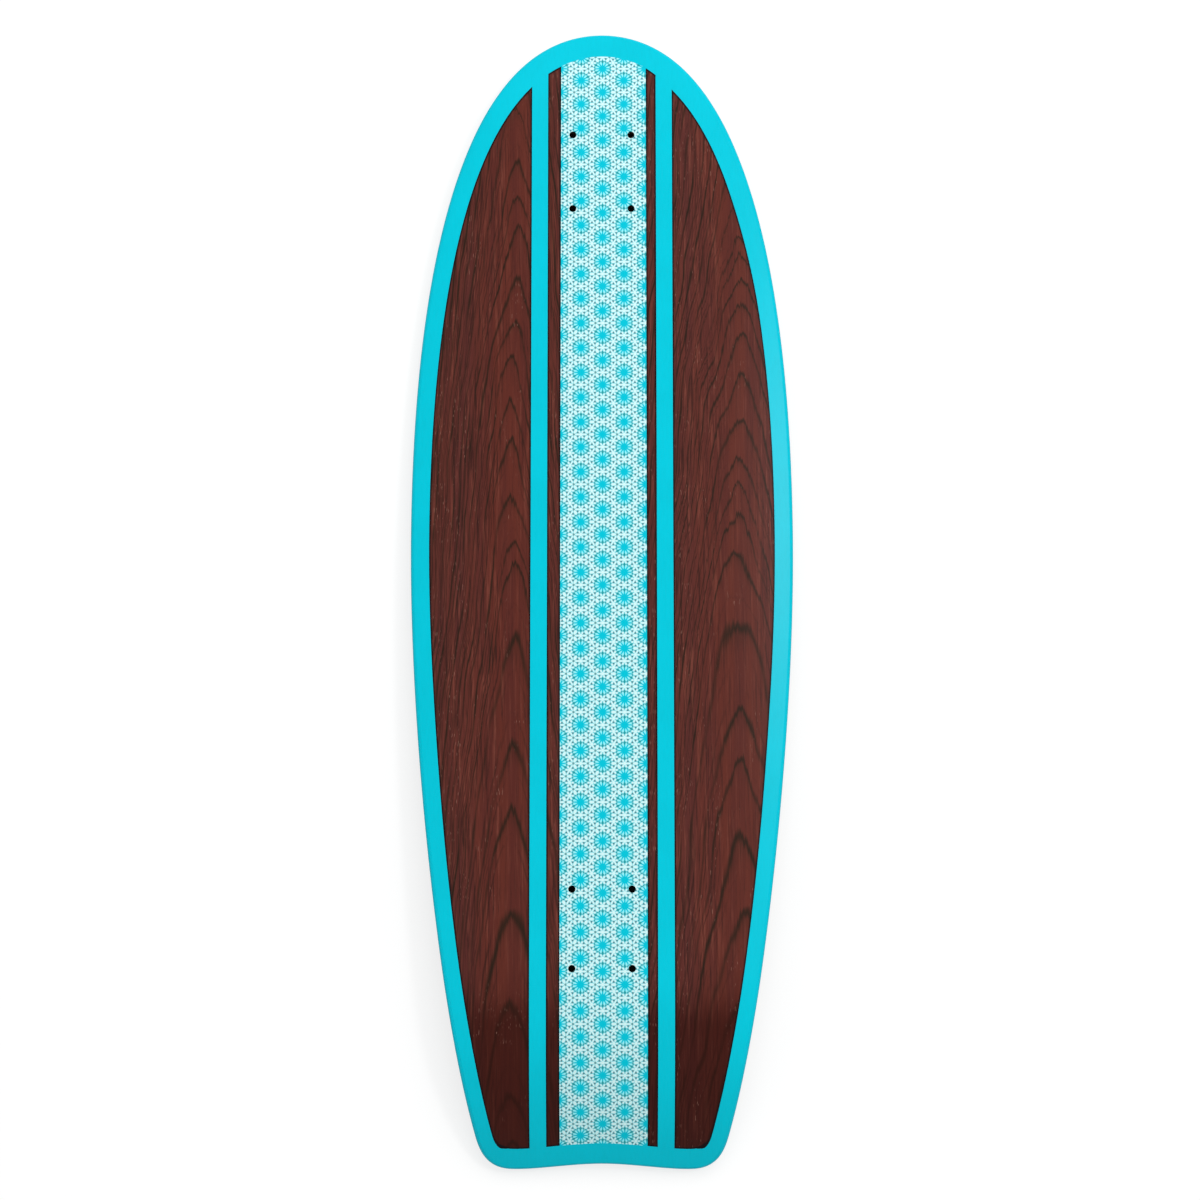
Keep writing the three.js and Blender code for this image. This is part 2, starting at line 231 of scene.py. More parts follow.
right_side = draw_right_side()
outline = np.concatenate([right_side, right_side[-2:0:-1] * (1, -1)])
grid = lay_grid(right_side)
grid_numbers = np.arange(grid.shape[0] * grid.shape[1]).reshape(grid.shape[:2])
flat_grid = grid.reshape(-1, 2)
rim = rim_of(grid_numbers)
rim_places = flat_grid[rim]
rim_outward = outward(rim_places)

VENEERS = 7
PLY = 1.5
STACK = VENEERS * PLY + (VENEERS - 1) * GLUE_LINE
EDGE_RADIUS = 3
PULL_REACH = 14
CRISP_ANGLE = math.radians(40)

rim_gaps = np.linalg.norm(flat_grid[:, None] - rim_places, axis=2)
rim_pull = rim_outward[rim_gaps.argmin(1)] * np.maximum(1 - rim_gaps.min(1) / PULL_REACH, 0)[:, None]


def rounding(depth):
    """How far the rounded edge draws the rim in at a depth."""
    rise = max(EDGE_RADIUS - max(min(depth, STACK - depth), 0), 0)
    return EDGE_RADIUS - math.sqrt(EDGE_RADIUS**2 - rise**2)


def finished(name, points, faces):
    """A smooth object with crisp edges, which rides on the deck."""
    mesh = bpy.data.meshes.new(name)
    mesh.from_pydata((np.asarray(points) * MM).tolist(), [], np.asarray(faces).tolist())
    mesh.shade_smooth()
    mesh.set_sharp_from_angle(angle=CRISP_ANGLE)
    piece = bpy.data.objects.new(name, mesh)
    bpy.context.scene.collection.objects.link(piece)
    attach(piece, "root")
    return piece


def sheet_layer(name, depths, insets):
    """A closed layer of the pressed sheet, with a ring round its rim at each depth."""
    levels = [press(flat_grid - rim_pull * inset, depth) for depth, inset in zip(depths, insets)]
    points = [levels[0], levels[-1]] + [level[rim] for level in levels[1:-1]]
    size = len(flat_grid)
    between = [2 * size + k * len(rim) + np.arange(len(rim)) for k in range(len(levels) - 2)]
    rings = [rim, *between, rim + size]
    faces = [quads_of(grid_numbers), quads_of(grid_numbers)[:, ::-1] + size]
    faces += [wall_between(above, below) for above, below in zip(rings, rings[1:])]
    return finished(name, np.concatenate(points), np.concatenate(faces))


BOLT_LENGTH = 53.98
BOLT_WIDTH = 41.28
BOLT_HOLE = 5
DRILL_REACH = 60
DRILL_SIDES = 40


def make_drill():
    """Eight upright bits, four at each truck, as one object that cuts the holes."""
    points, faces = [], []
    for pad in (front_pad, rear_pad):
        for end in (-BOLT_LENGTH / 2, BOLT_LENGTH / 2):
            for side in (-BOLT_WIDTH / 2, BOLT_WIDTH / 2):
                low = len(points)
                high = low + DRILL_SIDES
                for z in (-DRILL_REACH, DRILL_REACH):
                    for turn in np.linspace(0, 2 * math.pi, DRILL_SIDES, endpoint=False):
                        x = side + BOLT_HOLE / 2 * math.cos(turn)
                        y = pad.y + end + BOLT_HOLE / 2 * math.sin(turn)
                        points.append((x * MM, y * MM, (pad.z + z) * MM))
                faces.append(list(range(high - 1, low - 1, -1)))
                faces.append(list(range(high, high + DRILL_SIDES)))
                for k in range(DRILL_SIDES):
                    n = (k + 1) % DRILL_SIDES
                    faces.append([low + k, low + n, high + n, high + k])
    mesh = bpy.data.meshes.new("drill")
    mesh.from_pydata(points, [], faces)
    drill = bpy.data.objects.new("drill", mesh)
    bpy.context.scene.collection.objects.link(drill)
    return drill


def bore(piece):
    """Drills the bolt holes through a piece."""
    cut = piece.modifiers.new("bolt_holes", "BOOLEAN")
    cut.operation = "DIFFERENCE"
    cut.solver = "EXACT"
    cut.object = drill
    graph = bpy.context.evaluated_depsgraph_get()
    mesh = bpy.data.meshes.new_from_object(piece.evaluated_get(graph))
    piece.modifiers.clear()
    piece.data = mesh
    mesh.shade_smooth()
    mesh.set_sharp_from_angle(angle=CRISP_ANGLE)


FRONT_BORDER_WIDTH = 13.8
BACK_BORDER_WIDTH = 12.2
BORDER_TAPER = (100, 320)
NOSE_BORDER_EXTRA = 3.6
TAIL_BORDER_EXTRA = 6
END_FACING_SHARE = 0.2
ASKEW_EXTRA = 1.5
ASKEW_ALONG = (165, 260)
ASKEW_ACROSS = (35, 65)
OUTLINE_STEP = 4


def ease(value, low, high):
    """A smooth change from nought to one while the value passes from low to high."""
    share = np.clip((value - low) / (high - low), 0, 1)
    return share**2 * (3 - 2 * share)


def border_width(loop):
    """The printed border is narrower beside the tail, wider where the outline faces either end, and a
    little askew near the nose, where it is wider on the right."""
    taper = ease(-loop[:, 0], *BORDER_TAPER)
    ahead = outward(loop)[:, 0]
    facing = ease(np.abs(ahead), END_FACING_SHARE, 1)
    extra = np.where(ahead > 0, NOSE_BORDER_EXTRA, TAIL_BORDER_EXTRA) * facing
    extra += ASKEW_EXTRA * ease(loop[:, 0], *ASKEW_ALONG) * ease(loop[:, 1], *ASKEW_ACROSS)
    return FRONT_BORDER_WIDTH + (BACK_BORDER_WIDTH - FRONT_BORDER_WIDTH) * taper + extra


def points_of(piece):
    """Where the points of a piece are, in millimetres."""
    points = np.empty(3 * len(piece.data.vertices))
    piece.data.vertices.foreach_get("co", points)
    return points.reshape(-1, 3) / MM


sawn_edge = outline[::OUTLINE_STEP]
sawn_edge_border = border_width(sawn_edge)


def mark_places(piece):
    """Keeps each point's place on the flat sheet, across and along, and how far it is inside the border.
    The materials draw grain and print from these."""
    along, across = unpress(points_of(piece))
    inside = []
    for place in np.stack([along, across], -1):
        gaps = np.hypot(*(place - sawn_edge).T)
        inside.append((gaps - sawn_edge_border).min())
    places = piece.data.attributes.new("flat_place", "FLOAT_VECTOR", "POINT")
    places.data.foreach_set("vector", np.stack([across, along, inside], -1).ravel())


class Value:
    """A number that a material works out at each point. It takes ordinary sums."""

    def __init__(self, recipe, socket):
        self.recipe = recipe
        self.socket = socket

    def __add__(self, other):
        return self.recipe.work("ADD", self, other)

    def __radd__(self, other):
        return self.recipe.work("ADD", other, self)

    def __sub__(self, other):
        return self.recipe.work("SUBTRACT", self, other)

    def __rsub__(self, other):
        return self.recipe.work("SUBTRACT", other, self)

    def __mul__(self, other):
        return self.recipe.work("MULTIPLY", self, other)

    def __truediv__(self, other):
        return self.recipe.work("DIVIDE", self, other)

    def __rtruediv__(self, other):
        return self.recipe.work("DIVIDE", other, self)

    def __abs__(self):
        return self.recipe.work("ABSOLUTE", self)


# A mix node has several sockets of each name. These are the ones for colours: the amount and two colours.

MIX_SOCKETS = (0, 6, 7)
MIX_RESULT = 2


class Recipe:
    """A material, written as sums of values over the flat sheet, in millimetres."""

    def __init__(self, name, roughness, specular):
        self.material = bpy.data.materials.new(name)
        self.material.use_nodes = True
        self.nodes = self.material.node_tree.nodes
        self.links = self.material.node_tree.links
        self.surface = self.nodes["Principled BSDF"]
        self.surface.inputs["Roughness"].default_value = roughness
        self.surface.inputs["Specular IOR Level"].default_value = specular

    def put(self, socket, value):
        if isinstance(value, Value):
            self.links.new(value.socket, socket)
        else:
            socket.default_value = value

    def work(self, operation, *values):
        node = self.nodes.new("ShaderNodeMath")
        node.operation = operation
        for socket, value in zip(node.inputs, values):
            self.put(socket, value)
        return Value(self, node.outputs[0])

    def least(self, first, second):
        return self.work("MINIMUM", first, second)

    def most(self, first, second):
        return self.work("MAXIMUM", first, second)

    def root(self, value):
        return self.work("SQRT", value)

    def length(self, first, second):
        return self.root(first * first + second * second)

    def ramp(self, value, low, high, start=0.0, end=1.0):
        """A smooth change from start to end while the value passes from low to high."""
        node = self.nodes.new("ShaderNodeMapRange")
        node.interpolation_type = "SMOOTHSTEP"
        for socket, part in zip(node.inputs, (value, low, high, start, end)):
            self.put(socket, part)
        return Value(self, node.outputs["Result"])

    def places(self):
        """Where the point lies across and along the flat sheet, and how far inside the border."""
        node = self.nodes.new("ShaderNodeAttribute")
        node.attribute_name = "flat_place"
        return self.parts(node.outputs["Vector"])

    def parts(self, vector):
        node = self.nodes.new("ShaderNodeSeparateXYZ")
        self.links.new(vector, node.inputs[0])
        return [Value(self, output) for output in node.outputs]

    def flat_vector(self, across, along):
        node = self.nodes.new("ShaderNodeCombineXYZ")
        self.put(node.inputs[0], across)
        self.put(node.inputs[1], along)
        return node.outputs[0]

    def noise(self, across, along, width, length, detail=2.0, roughness=0.5):
        """Soft random values about one half, in patches of a given width and length."""
        where = self.flat_vector(across / width, along / length)
        node = self.nodes.new("ShaderNodeTexNoise")
        self.links.new(where, node.inputs["Vector"])
        node.inputs["Scale"].default_value = 1.0
        node.inputs["Detail"].default_value = detail
        node.inputs["Roughness"].default_value = roughness
        return Value(self, node.outputs[0])

    def blend(self, amount, first, second):
        """The first colour, and the second one where the amount is one."""
        node = self.nodes.new("ShaderNodeMix")
        node.data_type = "RGBA"
        for place, value in zip(MIX_SOCKETS, (amount, first, second)):
            self.put(node.inputs[place], value)
        return Value(self, node.outputs[MIX_RESULT])

    def colour(self, value):
        self.put(self.surface.inputs["Base Color"], value)

    def bump(self, height, relief):
        """Raises the surface by up to the relief where the height is one."""
        node = self.nodes.new("ShaderNodeBump")
        node.inputs["Distance"].default_value = relief * MM
        self.put(node.inputs["Height"], height)
        self.links.new(node.outputs[0], self.surface.inputs["Normal"])


def paint(red, green, blue):
    """A screen colour, each part from 0 to 255, in the light values that materials use."""
    parts = [part / 255 for part in (red, green, blue)]
    return [part / 12.92 if part < 0.04 else ((part + 0.055) / 1.055) ** 2.4 for part in parts] + [1.0]


# The grain of the face veneer: two rows of pointed arches, one on each side of the deck, in straight grain
# that closes up away from them. The lists say where the arches come along the deck, and the pairs of
# axes, slopes and bends give the left side first. A patch is the width and length of a noise's patches,
# then its detail and roughness if they are given.

LEFT_ARCHES = [-375, -315, -252, -180, -137, -62, -13, 2, 38, 75, 105, 136, 160, 191, 230, 252, 278, 315]
RIGHT_ARCHES = [-315, -250, -199, -150, -114, -52, -2, 26, 46, 64, 95, 124, 152, 175, 195, 214, 226, 250]
ARCH_AXES = (-62, 97)
ARCH_SLOPES = (15, 12)
ARCH_BENDS = (75, 110)
ARCH_POINT = 1.3
ARCH_TIP = 2.2
SWAY = 22
SWAY_PATCH = (60, 150)
SWELL = 24
SWELL_PATCH = (11, 60)
RAGGED = 10
RAGGED_PATCH = (1.1, 22)
UNEVEN_RANGE = 12.0


def waver(wood, across, along, patch, size):
    """A soft random shift, of up to about half the size either way."""
    return (wood.noise(across, along, *patch) - 0.5) * size


def count_rings(wood, height, arches):
    """The number of the growth ring at a height, which passes a whole number at each arch."""
    low, high = arches[0], arches[-1]
    step = (high - low) / (len(arches) - 1)
    node = wood.nodes.new("ShaderNodeFloatCurve")
    line = node.mapping.curves[0]
    for number, arch in enumerate(arches):
        lead = number - (arch - low) / step
        place = ((arch - low) / (high - low), 0.5 + lead / UNEVEN_RANGE)
        if number in (0, len(arches) - 1):
            line.points[min(number, 1)].location = place
        else:
            line.points.new(*place)
    node.mapping.update()
    even = (height - low) / step
    share = wood.least(wood.most(even / (len(arches) - 1), 0.0), 1.0)
    wood.put(node.inputs["Value"], share)
    return even + (Value(wood, node.outputs[0]) - 0.5) * UNEVEN_RANGE


def grow_arches(wood, across, along, swell):
    """How far a place is off the axis of its arches, how steeply its growth ring runs there, its height
    on the tree, and the number of its ring."""
    is_right = wood.work("GREATER_THAN", across, 0.0)

    def by_side(left, right):
        return is_right * (right - left) + left

    away = across - by_side(*ARCH_AXES) + waver(wood, across, along, SWAY_PATCH, SWAY)
    off_axis = wood.root(away * away + ARCH_TIP**2)
    bend = by_side(*ARCH_BENDS)
    flare = by_side(*ARCH_SLOPES) / (off_axis + bend)
    fall = flare * off_axis * off_axis + off_axis * ARCH_POINT
    slope = flare * away * (off_axis + bend * 2.0) / (off_axis + bend) + away / off_axis * ARCH_POINT
    steepness = wood.root(slope * slope + 1.0)
    height = along + fall + swell + waver(wood, across, along, RAGGED_PATCH, RAGGED)
    left = count_rings(wood, height, LEFT_ARCHES)
    right = count_rings(wood, height, RIGHT_ARCHES)
    return off_axis, steepness, height, by_side(left, right)


# Each growth ring is a dark line with finer ones between, darker where it arches over the axis, and shaded
# on its inner side there. A range says where a change begins and ends, then the two values that it runs
# between if they aren't nought and one.

RING_SPACING = 36
RING_FADE = (0.1, 1.45)
RING_HALF_WIDTH = 0.6
ARCH_EXTRA_WIDTH = 1.7
RING_PATCH = (0.37, 55)
RING_PATCH_RANGE = (0.36, 0.64)
RING_DARKNESS = (0.2, 0.85)
ARCH_DARKNESS = 0.82
FINE_RINGS = 3.0
FINE_HALF_WIDTH = 0.35
FINE_DARKNESS = (0.0, 0.7)
FINE_SHARE_AT_AXIS = 0.25
SHADE_START = 0.68
SHADE_DARKNESS = 0.35
FINE_RING = paint(48, 27, 22)
RING_SHADE = paint(46, 31, 22)
MAIN_RING = paint(36, 28, 19)


def ring_lines(wood, count, steepness, spacing, half_width):
    """Lines of a real half width where the count is whole."""
    off_line = 0.5 - abs(wood.work("FRACT", count) - 0.5)
    return wood.ramp(off_line * spacing / steepness / half_width, *RING_FADE, 1.0, 0.0)


def ring_darkness(wood, count, along, darkness):
    """Each ring has its own darkness, which changes slowly along it."""
    patches = wood.noise(wood.work("ROUND", count), along, *RING_PATCH)
    return wood.ramp(patches, *RING_PATCH_RANGE, *darkness)


def draw_rings(wood, tone, along, count, steepness, near_axis):
    half_width = RING_HALF_WIDTH + ARCH_EXTRA_WIDTH / steepness
    main = ring_lines(wood, count, steepness, RING_SPACING, half_width)
    own_darkness = ring_darkness(wood, count, along, RING_DARKNESS)
    main = main * wood.most(own_darkness, near_axis * ARCH_DARKNESS)
    fine_count = count * FINE_RINGS
    fine = ring_lines(wood, fine_count, steepness, RING_SPACING / FINE_RINGS, FINE_HALF_WIDTH)
    fine = fine * ring_darkness(wood, fine_count, along, FINE_DARKNESS)
    fine = fine * wood.ramp(near_axis, 0.0, 1.0, 1.0, FINE_SHARE_AT_AXIS)
    shade = wood.ramp(wood.work("FRACT", count), SHADE_START, 1.0) * near_axis
    tone = wood.blend(fine, tone, FINE_RING)
    tone = wood.blend(shade * SHADE_DARKNESS, tone, RING_SHADE)
    return wood.blend(main, tone, MAIN_RING)


# The wood between the rings: broad patches, redder near the arches, with dark and pale streaks that are
# calmer there. The wood is darker on the kick, the open pores carry a painted glint of light, and a thin
# dark line runs along the edge of the print.

STRIPE_CENTRE = 44
STRIPE_WIDTH = 11.4
PANEL_WIDTH = 60.3
PANEL_SHIFT = 1.1

BROAD_PATCH = (8, 220)
BROAD_RANGE = (0.35, 0.65)
RED_NEAR_AXIS = (8.0, 40.0)
RED_WOOD = (paint(89, 41, 35), paint(98, 45, 36))
PURPLE_WOOD = (paint(89, 44, 40), paint(99, 48, 41))

DRIFT_HEIGHT = 400.0
DRIFT = 3.0
DARK_STREAK_PATCH = (1.3, 45, 4.0, 0.7)
DARK_STREAK_RANGE = (0.5, 0.66, 0.0, 0.85)
DARK_STREAK = paint(50, 27, 24)
PALE_STREAK_PLACE = 300.0
PALE_STREAK_PATCH = (2.0, 60, 4.0, 0.7)
PALE_STREAK_RANGE = (0.5, 0.68, 0.0, 0.6)
PALE_STREAK = paint(134, 73, 60)
CALM_RANGE = (0.2, 1.0, 1.0, 0.45)

KICK_DARK_TONE = paint(50, 12, 6)
KICK_DARKENING_EDGE = (6.0, 36.0, 0.0, 0.48)
KICK_DARKENING_FADE = (-22.0, 25.0, 0.0, 0.24)
KICK_DARKENING_SWELL = 0.3

PORE_GLINT_PATCH = (0.55, 5.5, 1.0)
PORE_GLINT_RANGE = (0.66, 0.74)
GLINT_AREA_PATCH = (14, 50)
GLINT_AREA_RANGE = (0.5, 0.6)
FEW_GLINTS_NEAR_AXIS = (20.0, 45.0, -0.06, 0.06)
PORE_GLINT_STRENGTH = 0.55
PORE_GLINT = paint(168, 122, 106)

DARK_LINE_FADE = (0.6, 1.56, 0.9, 0.0)
DARK_LINE = paint(14, 12, 14)

NEAR_AXIS_RANGE = (1.5, 7.0, 1.0, 0.0)
LACQUER_ROUGHNESS = 0.32
LACQUER_SPECULAR = 0.06
GRAIN_RELIEF = 0.05


def stained_veneer():
    wood = Recipe("stained_veneer", LACQUER_ROUGHNESS, LACQUER_SPECULAR)
    across, along, inside = wood.places()
    swell = waver(wood, across, along, SWELL_PATCH, SWELL)
    off_axis, steepness, height, count = grow_arches(wood, across, along, swell)
    near_axis = wood.ramp(steepness, *NEAR_AXIS_RANGE)

    broad = wood.ramp(wood.noise(across, along, *BROAD_PATCH), *BROAD_RANGE)
    reddish, purplish = wood.blend(broad, *RED_WOOD), wood.blend(broad, *PURPLE_WOOD)
    tone = wood.blend(wood.ramp(off_axis, *RED_NEAR_AXIS), reddish, purplish)
    bent = across + wood.ramp(height, -DRIFT_HEIGHT, DRIFT_HEIGHT, -DRIFT, DRIFT)
    dark_streaks = wood.noise(bent, along, *DARK_STREAK_PATCH)
    pale_streaks = wood.noise(bent + PALE_STREAK_PLACE, along, *PALE_STREAK_PATCH)
    calm = wood.ramp(near_axis, *CALM_RANGE)
    tone = wood.blend(wood.ramp(dark_streaks, *DARK_STREAK_RANGE) * calm, tone, DARK_STREAK)
    tone = wood.blend(wood.ramp(pale_streaks, *PALE_STREAK_RANGE) * calm, tone, PALE_STREAK)
    tone = draw_rings(wood, tone, along, count, steepness, near_axis)

    # The wood turns darker from where the kick begins, with a darker tone blended over it.
    kicked = -KICK_START - along
    kick_darkening = wood.ramp(kicked - swell * KICK_DARKENING_SWELL, *KICK_DARKENING_EDGE)
    kick_darkening = kick_darkening + wood.ramp(kicked, *KICK_DARKENING_FADE)
    tone = wood.blend(kick_darkening, tone, KICK_DARK_TONE)

    # Painted highlight: pale glints of light on the open pores, fewer near the arches.
    glint_area = wood.noise(across, along, *GLINT_AREA_PATCH) + wood.ramp(off_axis, *FEW_GLINTS_NEAR_AXIS)
    pore_glints = wood.ramp(wood.noise(across, along, *PORE_GLINT_PATCH), *PORE_GLINT_RANGE)
    pore_glints = pore_glints * wood.ramp(glint_area, *GLINT_AREA_RANGE)
    tone = wood.blend(pore_glints * PORE_GLINT_STRENGTH, tone, PORE_GLINT)

    off_stripe = abs(abs(across) - STRIPE_CENTRE) - STRIPE_WIDTH / 2
    off_panel = abs(across - PANEL_SHIFT) - PANEL_WIDTH / 2
    off_print = wood.least(wood.least(off_stripe, off_panel), inside)
    tone = wood.blend(wood.ramp(off_print, *DARK_LINE_FADE), tone, DARK_LINE)
    wood.colour(tone)
    wood.bump(dark_streaks, GRAIN_RELIEF)
    return wood.material


FACE_RING = 0.3 * PLY

drill = make_drill()
face_depths = [0, FACE_RING, PLY]
face_veneer = sheet_layer("stained_face_veneer", face_depths, [rounding(depth) for depth in face_depths])
bore(face_veneer)
mark_places(face_veneer)
face_veneer.data.materials.append(stained_veneer())
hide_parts("underside_face_ply")

# Six plain maple veneers under it, glued face to face, two of them with their grain crosswise. Their edges
# are painted over, so they show only in the bolt holes, where painted shade darkens the cut wood.

INNER_VENEERS = [
    "underside_long_ply", "underside_cross_ply", "core_ply",
    "riding_cross_ply", "riding_long_ply", "riding_face_ply",
]
INNER_RING = 0.7 * PLY
WHEELBASE = front_pad.y - rear_pad.y
MAPLE_ROUGHNESS = 0.55
MAPLE_SPECULAR = 0.2
MAPLE_GRAIN_WIDTH = 1.4
MAPLE_GRAIN_LENGTH = 40
MAPLE_GRAIN_DETAIL = (3.0, 0.6)
MAPLE_STREAK_RANGE = (0.5, 0.75, 0.0, 0.5)
MAPLE_RELIEF = 0.03
CLOUD_SCALE = 8
CLOUD_RANGE = (0.35, 0.65)
MAPLE = (paint(222, 186, 140), paint(205, 164, 116))
MAPLE_STREAK = paint(168, 122, 78)
HOLE_SHADE_FADE = (0.18, 0.6, 0.92, 0.0)
HOLE_PAINTED_SHADE = paint(22, 16, 14)


def maple_veneer(name, grain_across, grain_along):
    wood = Recipe(name, MAPLE_ROUGHNESS, MAPLE_SPECULAR)
    across, along = wood.places()[:2]
    streaks = wood.noise(across, along, grain_across, grain_along, *MAPLE_GRAIN_DETAIL)
    clouds = wood.noise(across, along, CLOUD_SCALE * grain_across, CLOUD_SCALE * grain_along)
    tone = wood.blend(wood.ramp(clouds, *CLOUD_RANGE), *MAPLE)
    tone = wood.blend(wood.ramp(streaks, *MAPLE_STREAK_RANGE), tone, MAPLE_STREAK)
    off_row = abs(across) - BOLT_WIDTH / 2
    off_line = abs(abs(along) - WHEELBASE / 2) - BOLT_LENGTH / 2
    off_hole = wood.length(off_row, off_line) - BOLT_HOLE / 2
    # Painted shade: the maple darkens towards each bolt hole, so the hole walls look dark.
    tone = wood.blend(wood.ramp(off_hole, *HOLE_SHADE_FADE), tone, HOLE_PAINTED_SHADE)
    wood.colour(tone)
    wood.bump(streaks, MAPLE_RELIEF)
    return wood.material


lengthwise = maple_veneer("maple_lengthwise", MAPLE_GRAIN_WIDTH, MAPLE_GRAIN_LENGTH)
crosswise = maple_veneer("maple_crosswise", MAPLE_GRAIN_LENGTH, MAPLE_GRAIN_WIDTH)
for order, node in enumerate(INNER_VENEERS, start=1):
    top = order * (PLY + GLUE_LINE)
    depths = [top, top + INNER_RING, top + PLY]
    veneer = sheet_layer("maple_" + node, depths, [rounding(depth) for depth in depths])
    bore(veneer)
    mark_places(veneer)
    veneer.data.materials.append(crosswise if "cross" in node else lengthwise)
    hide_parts(node)

# Grip sheet on the riding side. It is black mineral grit bonded to a self-adhesive film, stuck on whole and
# trimmed where the edge starts to turn. It closes the bolt holes until the bolts are pushed through it.

GRIP_THICKNESS = 0.8
GRIP_CUT = 0.3
GRIT_ROUGHNESS = 0.85
GRIT_SPECULAR = 0.3
GRAINS_PER_MM = 1.6
GRAIN_GLINT_FADE = (0.05, 0.35, 0.4, 0.0)
GRIT_RELIEF = 0.25
WORN_PATCH = (35, 35, 3.0)
WORN_RANGE = (0.35, 0.7)
GRIT_BLACK = (paint(22, 22, 24), paint(34, 34, 35))
GRAIN_TOP_GLINT = paint(88, 88, 90)


def grit():
    sheet = Recipe("black_grit", GRIT_ROUGHNESS, GRIT_SPECULAR)
    across, along = sheet.places()[:2]
    grains = sheet.nodes.new("ShaderNodeTexVoronoi")
    grains.inputs["Scale"].default_value = GRAINS_PER_MM
    sheet.links.new(sheet.flat_vector(across, along), grains.inputs["Vector"])
    off_grain = Value(sheet, grains.outputs["Distance"])
    worn = sheet.noise(across, along, *WORN_PATCH)
    tone = sheet.blend(sheet.ramp(worn, *WORN_RANGE), *GRIT_BLACK)
    # Painted highlight: the tops of the grains are lighter, a glint of light painted on them.
    tone = sheet.blend(sheet.ramp(off_grain, *GRAIN_GLINT_FADE), tone, GRAIN_TOP_GLINT)
    sheet.colour(tone)
    sheet.bump(1.0 - off_grain, GRIT_RELIEF)
    return sheet.material


grip_top = STACK + GLUE_LINE
grip_depths = [grip_top, grip_top + GRIP_THICKNESS / 2, grip_top + GRIP_THICKNESS]
grip = sheet_layer("grip_sheet_grit", grip_depths, [EDGE_RADIUS, EDGE_RADIUS, EDGE_RADIUS + GRIP_CUT])
mark_places(grip)
grip.data.materials.append(grit())
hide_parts("grip_sheet")

# Border print. Opaque cyan ink is screened onto the face veneer all round its edge, over the ends of the
# panel and the stripes, and lacquered. The wood below shows through it as a very faint mottle.

BORDER_STATIONS = 560
BORDER_COLUMNS = 7
EDGE_LAP = 0.15
INK_ROUGHNESS = 0.26
INK_SPECULAR = 0.075
INK_GRAIN_PATCH = (1.5, 9, 3.0, 0.6)
INK_GRAIN_RANGE = (0.4, 0.7, 0.0, 0.5)
INK_CLOUD_PATCH = (45, 45)
INK_CLOUD_RANGE = (0.35, 0.65, 0.0, 0.5)
INK_RELIEF = 0.02
CYAN = paint(0, 206, 227)
DARKER_CYAN = paint(0, 200, 220)


def ink(name, tone, darker):
    film = Recipe(name, INK_ROUGHNESS, INK_SPECULAR)
    across, along = film.places()[:2]
    grain = film.noise(across, along, *INK_GRAIN_PATCH)
    cloud = film.noise(across, along, *INK_CLOUD_PATCH)
    mottle = film.ramp(grain, *INK_GRAIN_RANGE) + film.ramp(cloud, *INK_CLOUD_RANGE)
    film.colour(film.blend(mottle, tone, darker))
    film.bump(grain, INK_RELIEF)
    return film.material


def film_points(places, thickness):
    """The top and the bottom of a film of ink, which lies a glue line's width above the wood."""
    return np.concatenate([press(places, -GLUE_LINE - thickness), press(places, -GLUE_LINE)])


border_loop = evenly(np.concatenate([outline, outline[:1]]), BORDER_STATIONS + 1)[:-1]
border_outward = outward(border_loop)
border_outer = border_loop - border_outward * (EDGE_RADIUS - EDGE_LAP)
border_inner = border_loop - border_outward * border_width(border_loop)[:, None]

# Along the tail the inner edge runs straight into its two corners, and nowhere lies behind this line.

border_tail_line = BACK_BORDER_WIDTH + TAIL_BORDER_EXTRA - TAIL_REACH
border_inner[:, 0] = np.maximum(border_inner[:, 0], border_tail_line)


def border_print():
    steps = np.linspace(0, 1, BORDER_COLUMNS)[None, :, None]
    places = (border_outer[:, None] + (border_inner - border_outer)[:, None] * steps).reshape(-1, 2)
    rings = np.arange(len(places)).reshape(BORDER_STATIONS, BORDER_COLUMNS).T
    inner_wall = wall_between(rings[-1], rings[-1] + len(places))
    outer_wall = wall_between(rings[0], rings[0] + len(places))[:, ::-1]
    faces = [inner_wall, outer_wall]
    for outer, inner in zip(rings, rings[1:]):
        faces.append(wall_between(inner, outer)[:, ::-1])
        faces.append(wall_between(inner, outer) + len(places))
    return finished("border_ink", film_points(places, PRINT_THICKNESS), np.concatenate(faces))


cyan_ink = ink("cyan_ink", CYAN, DARKER_CYAN)
border = border_print()
mark_places(border)
border.data.materials.append(cyan_ink)
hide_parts("border_print")

# Two stripes of the same cyan ink, printed along the deck beside the panel. They run into the border at
# both ends, so the print is one colour there.

BORDER_LAP = 0.6
BAND_ROWS = 200
STRIPE_COLUMNS = 5


def printed_band(name, left, right, columns, thickness):
    """A lengthwise band of ink whose ends lie just under the border."""
    nose_end = border_inner[border_inner[:, 0] > 0]
    tail_end = border_inner[border_inner[:, 0] < 0]
    nose_end = nose_end[np.argsort(nose_end[:, 1])]
    tail_end = tail_end[np.argsort(tail_end[:, 1])]
    across = np.linspace(left, right, columns)
    nose = np.interp(across, nose_end[:, 1], nose_end[:, 0]) + BORDER_LAP
    tail = np.interp(across, tail_end[:, 1], tail_end[:, 0]) - BORDER_LAP
    along = tail + (nose - tail) * np.linspace(0, 1, BAND_ROWS)[:, None]
    places = np.stack([along, np.tile(across, (BAND_ROWS, 1))], -1).reshape(-1, 2)
    band = np.arange(len(places)).reshape(along.shape)
    edge = rim_of(band)
    faces = [quads_of(band), quads_of(band)[:, ::-1] + len(places), wall_between(edge, edge + len(places))]
    return finished(name, film_points(places, thickness), np.concatenate(faces))


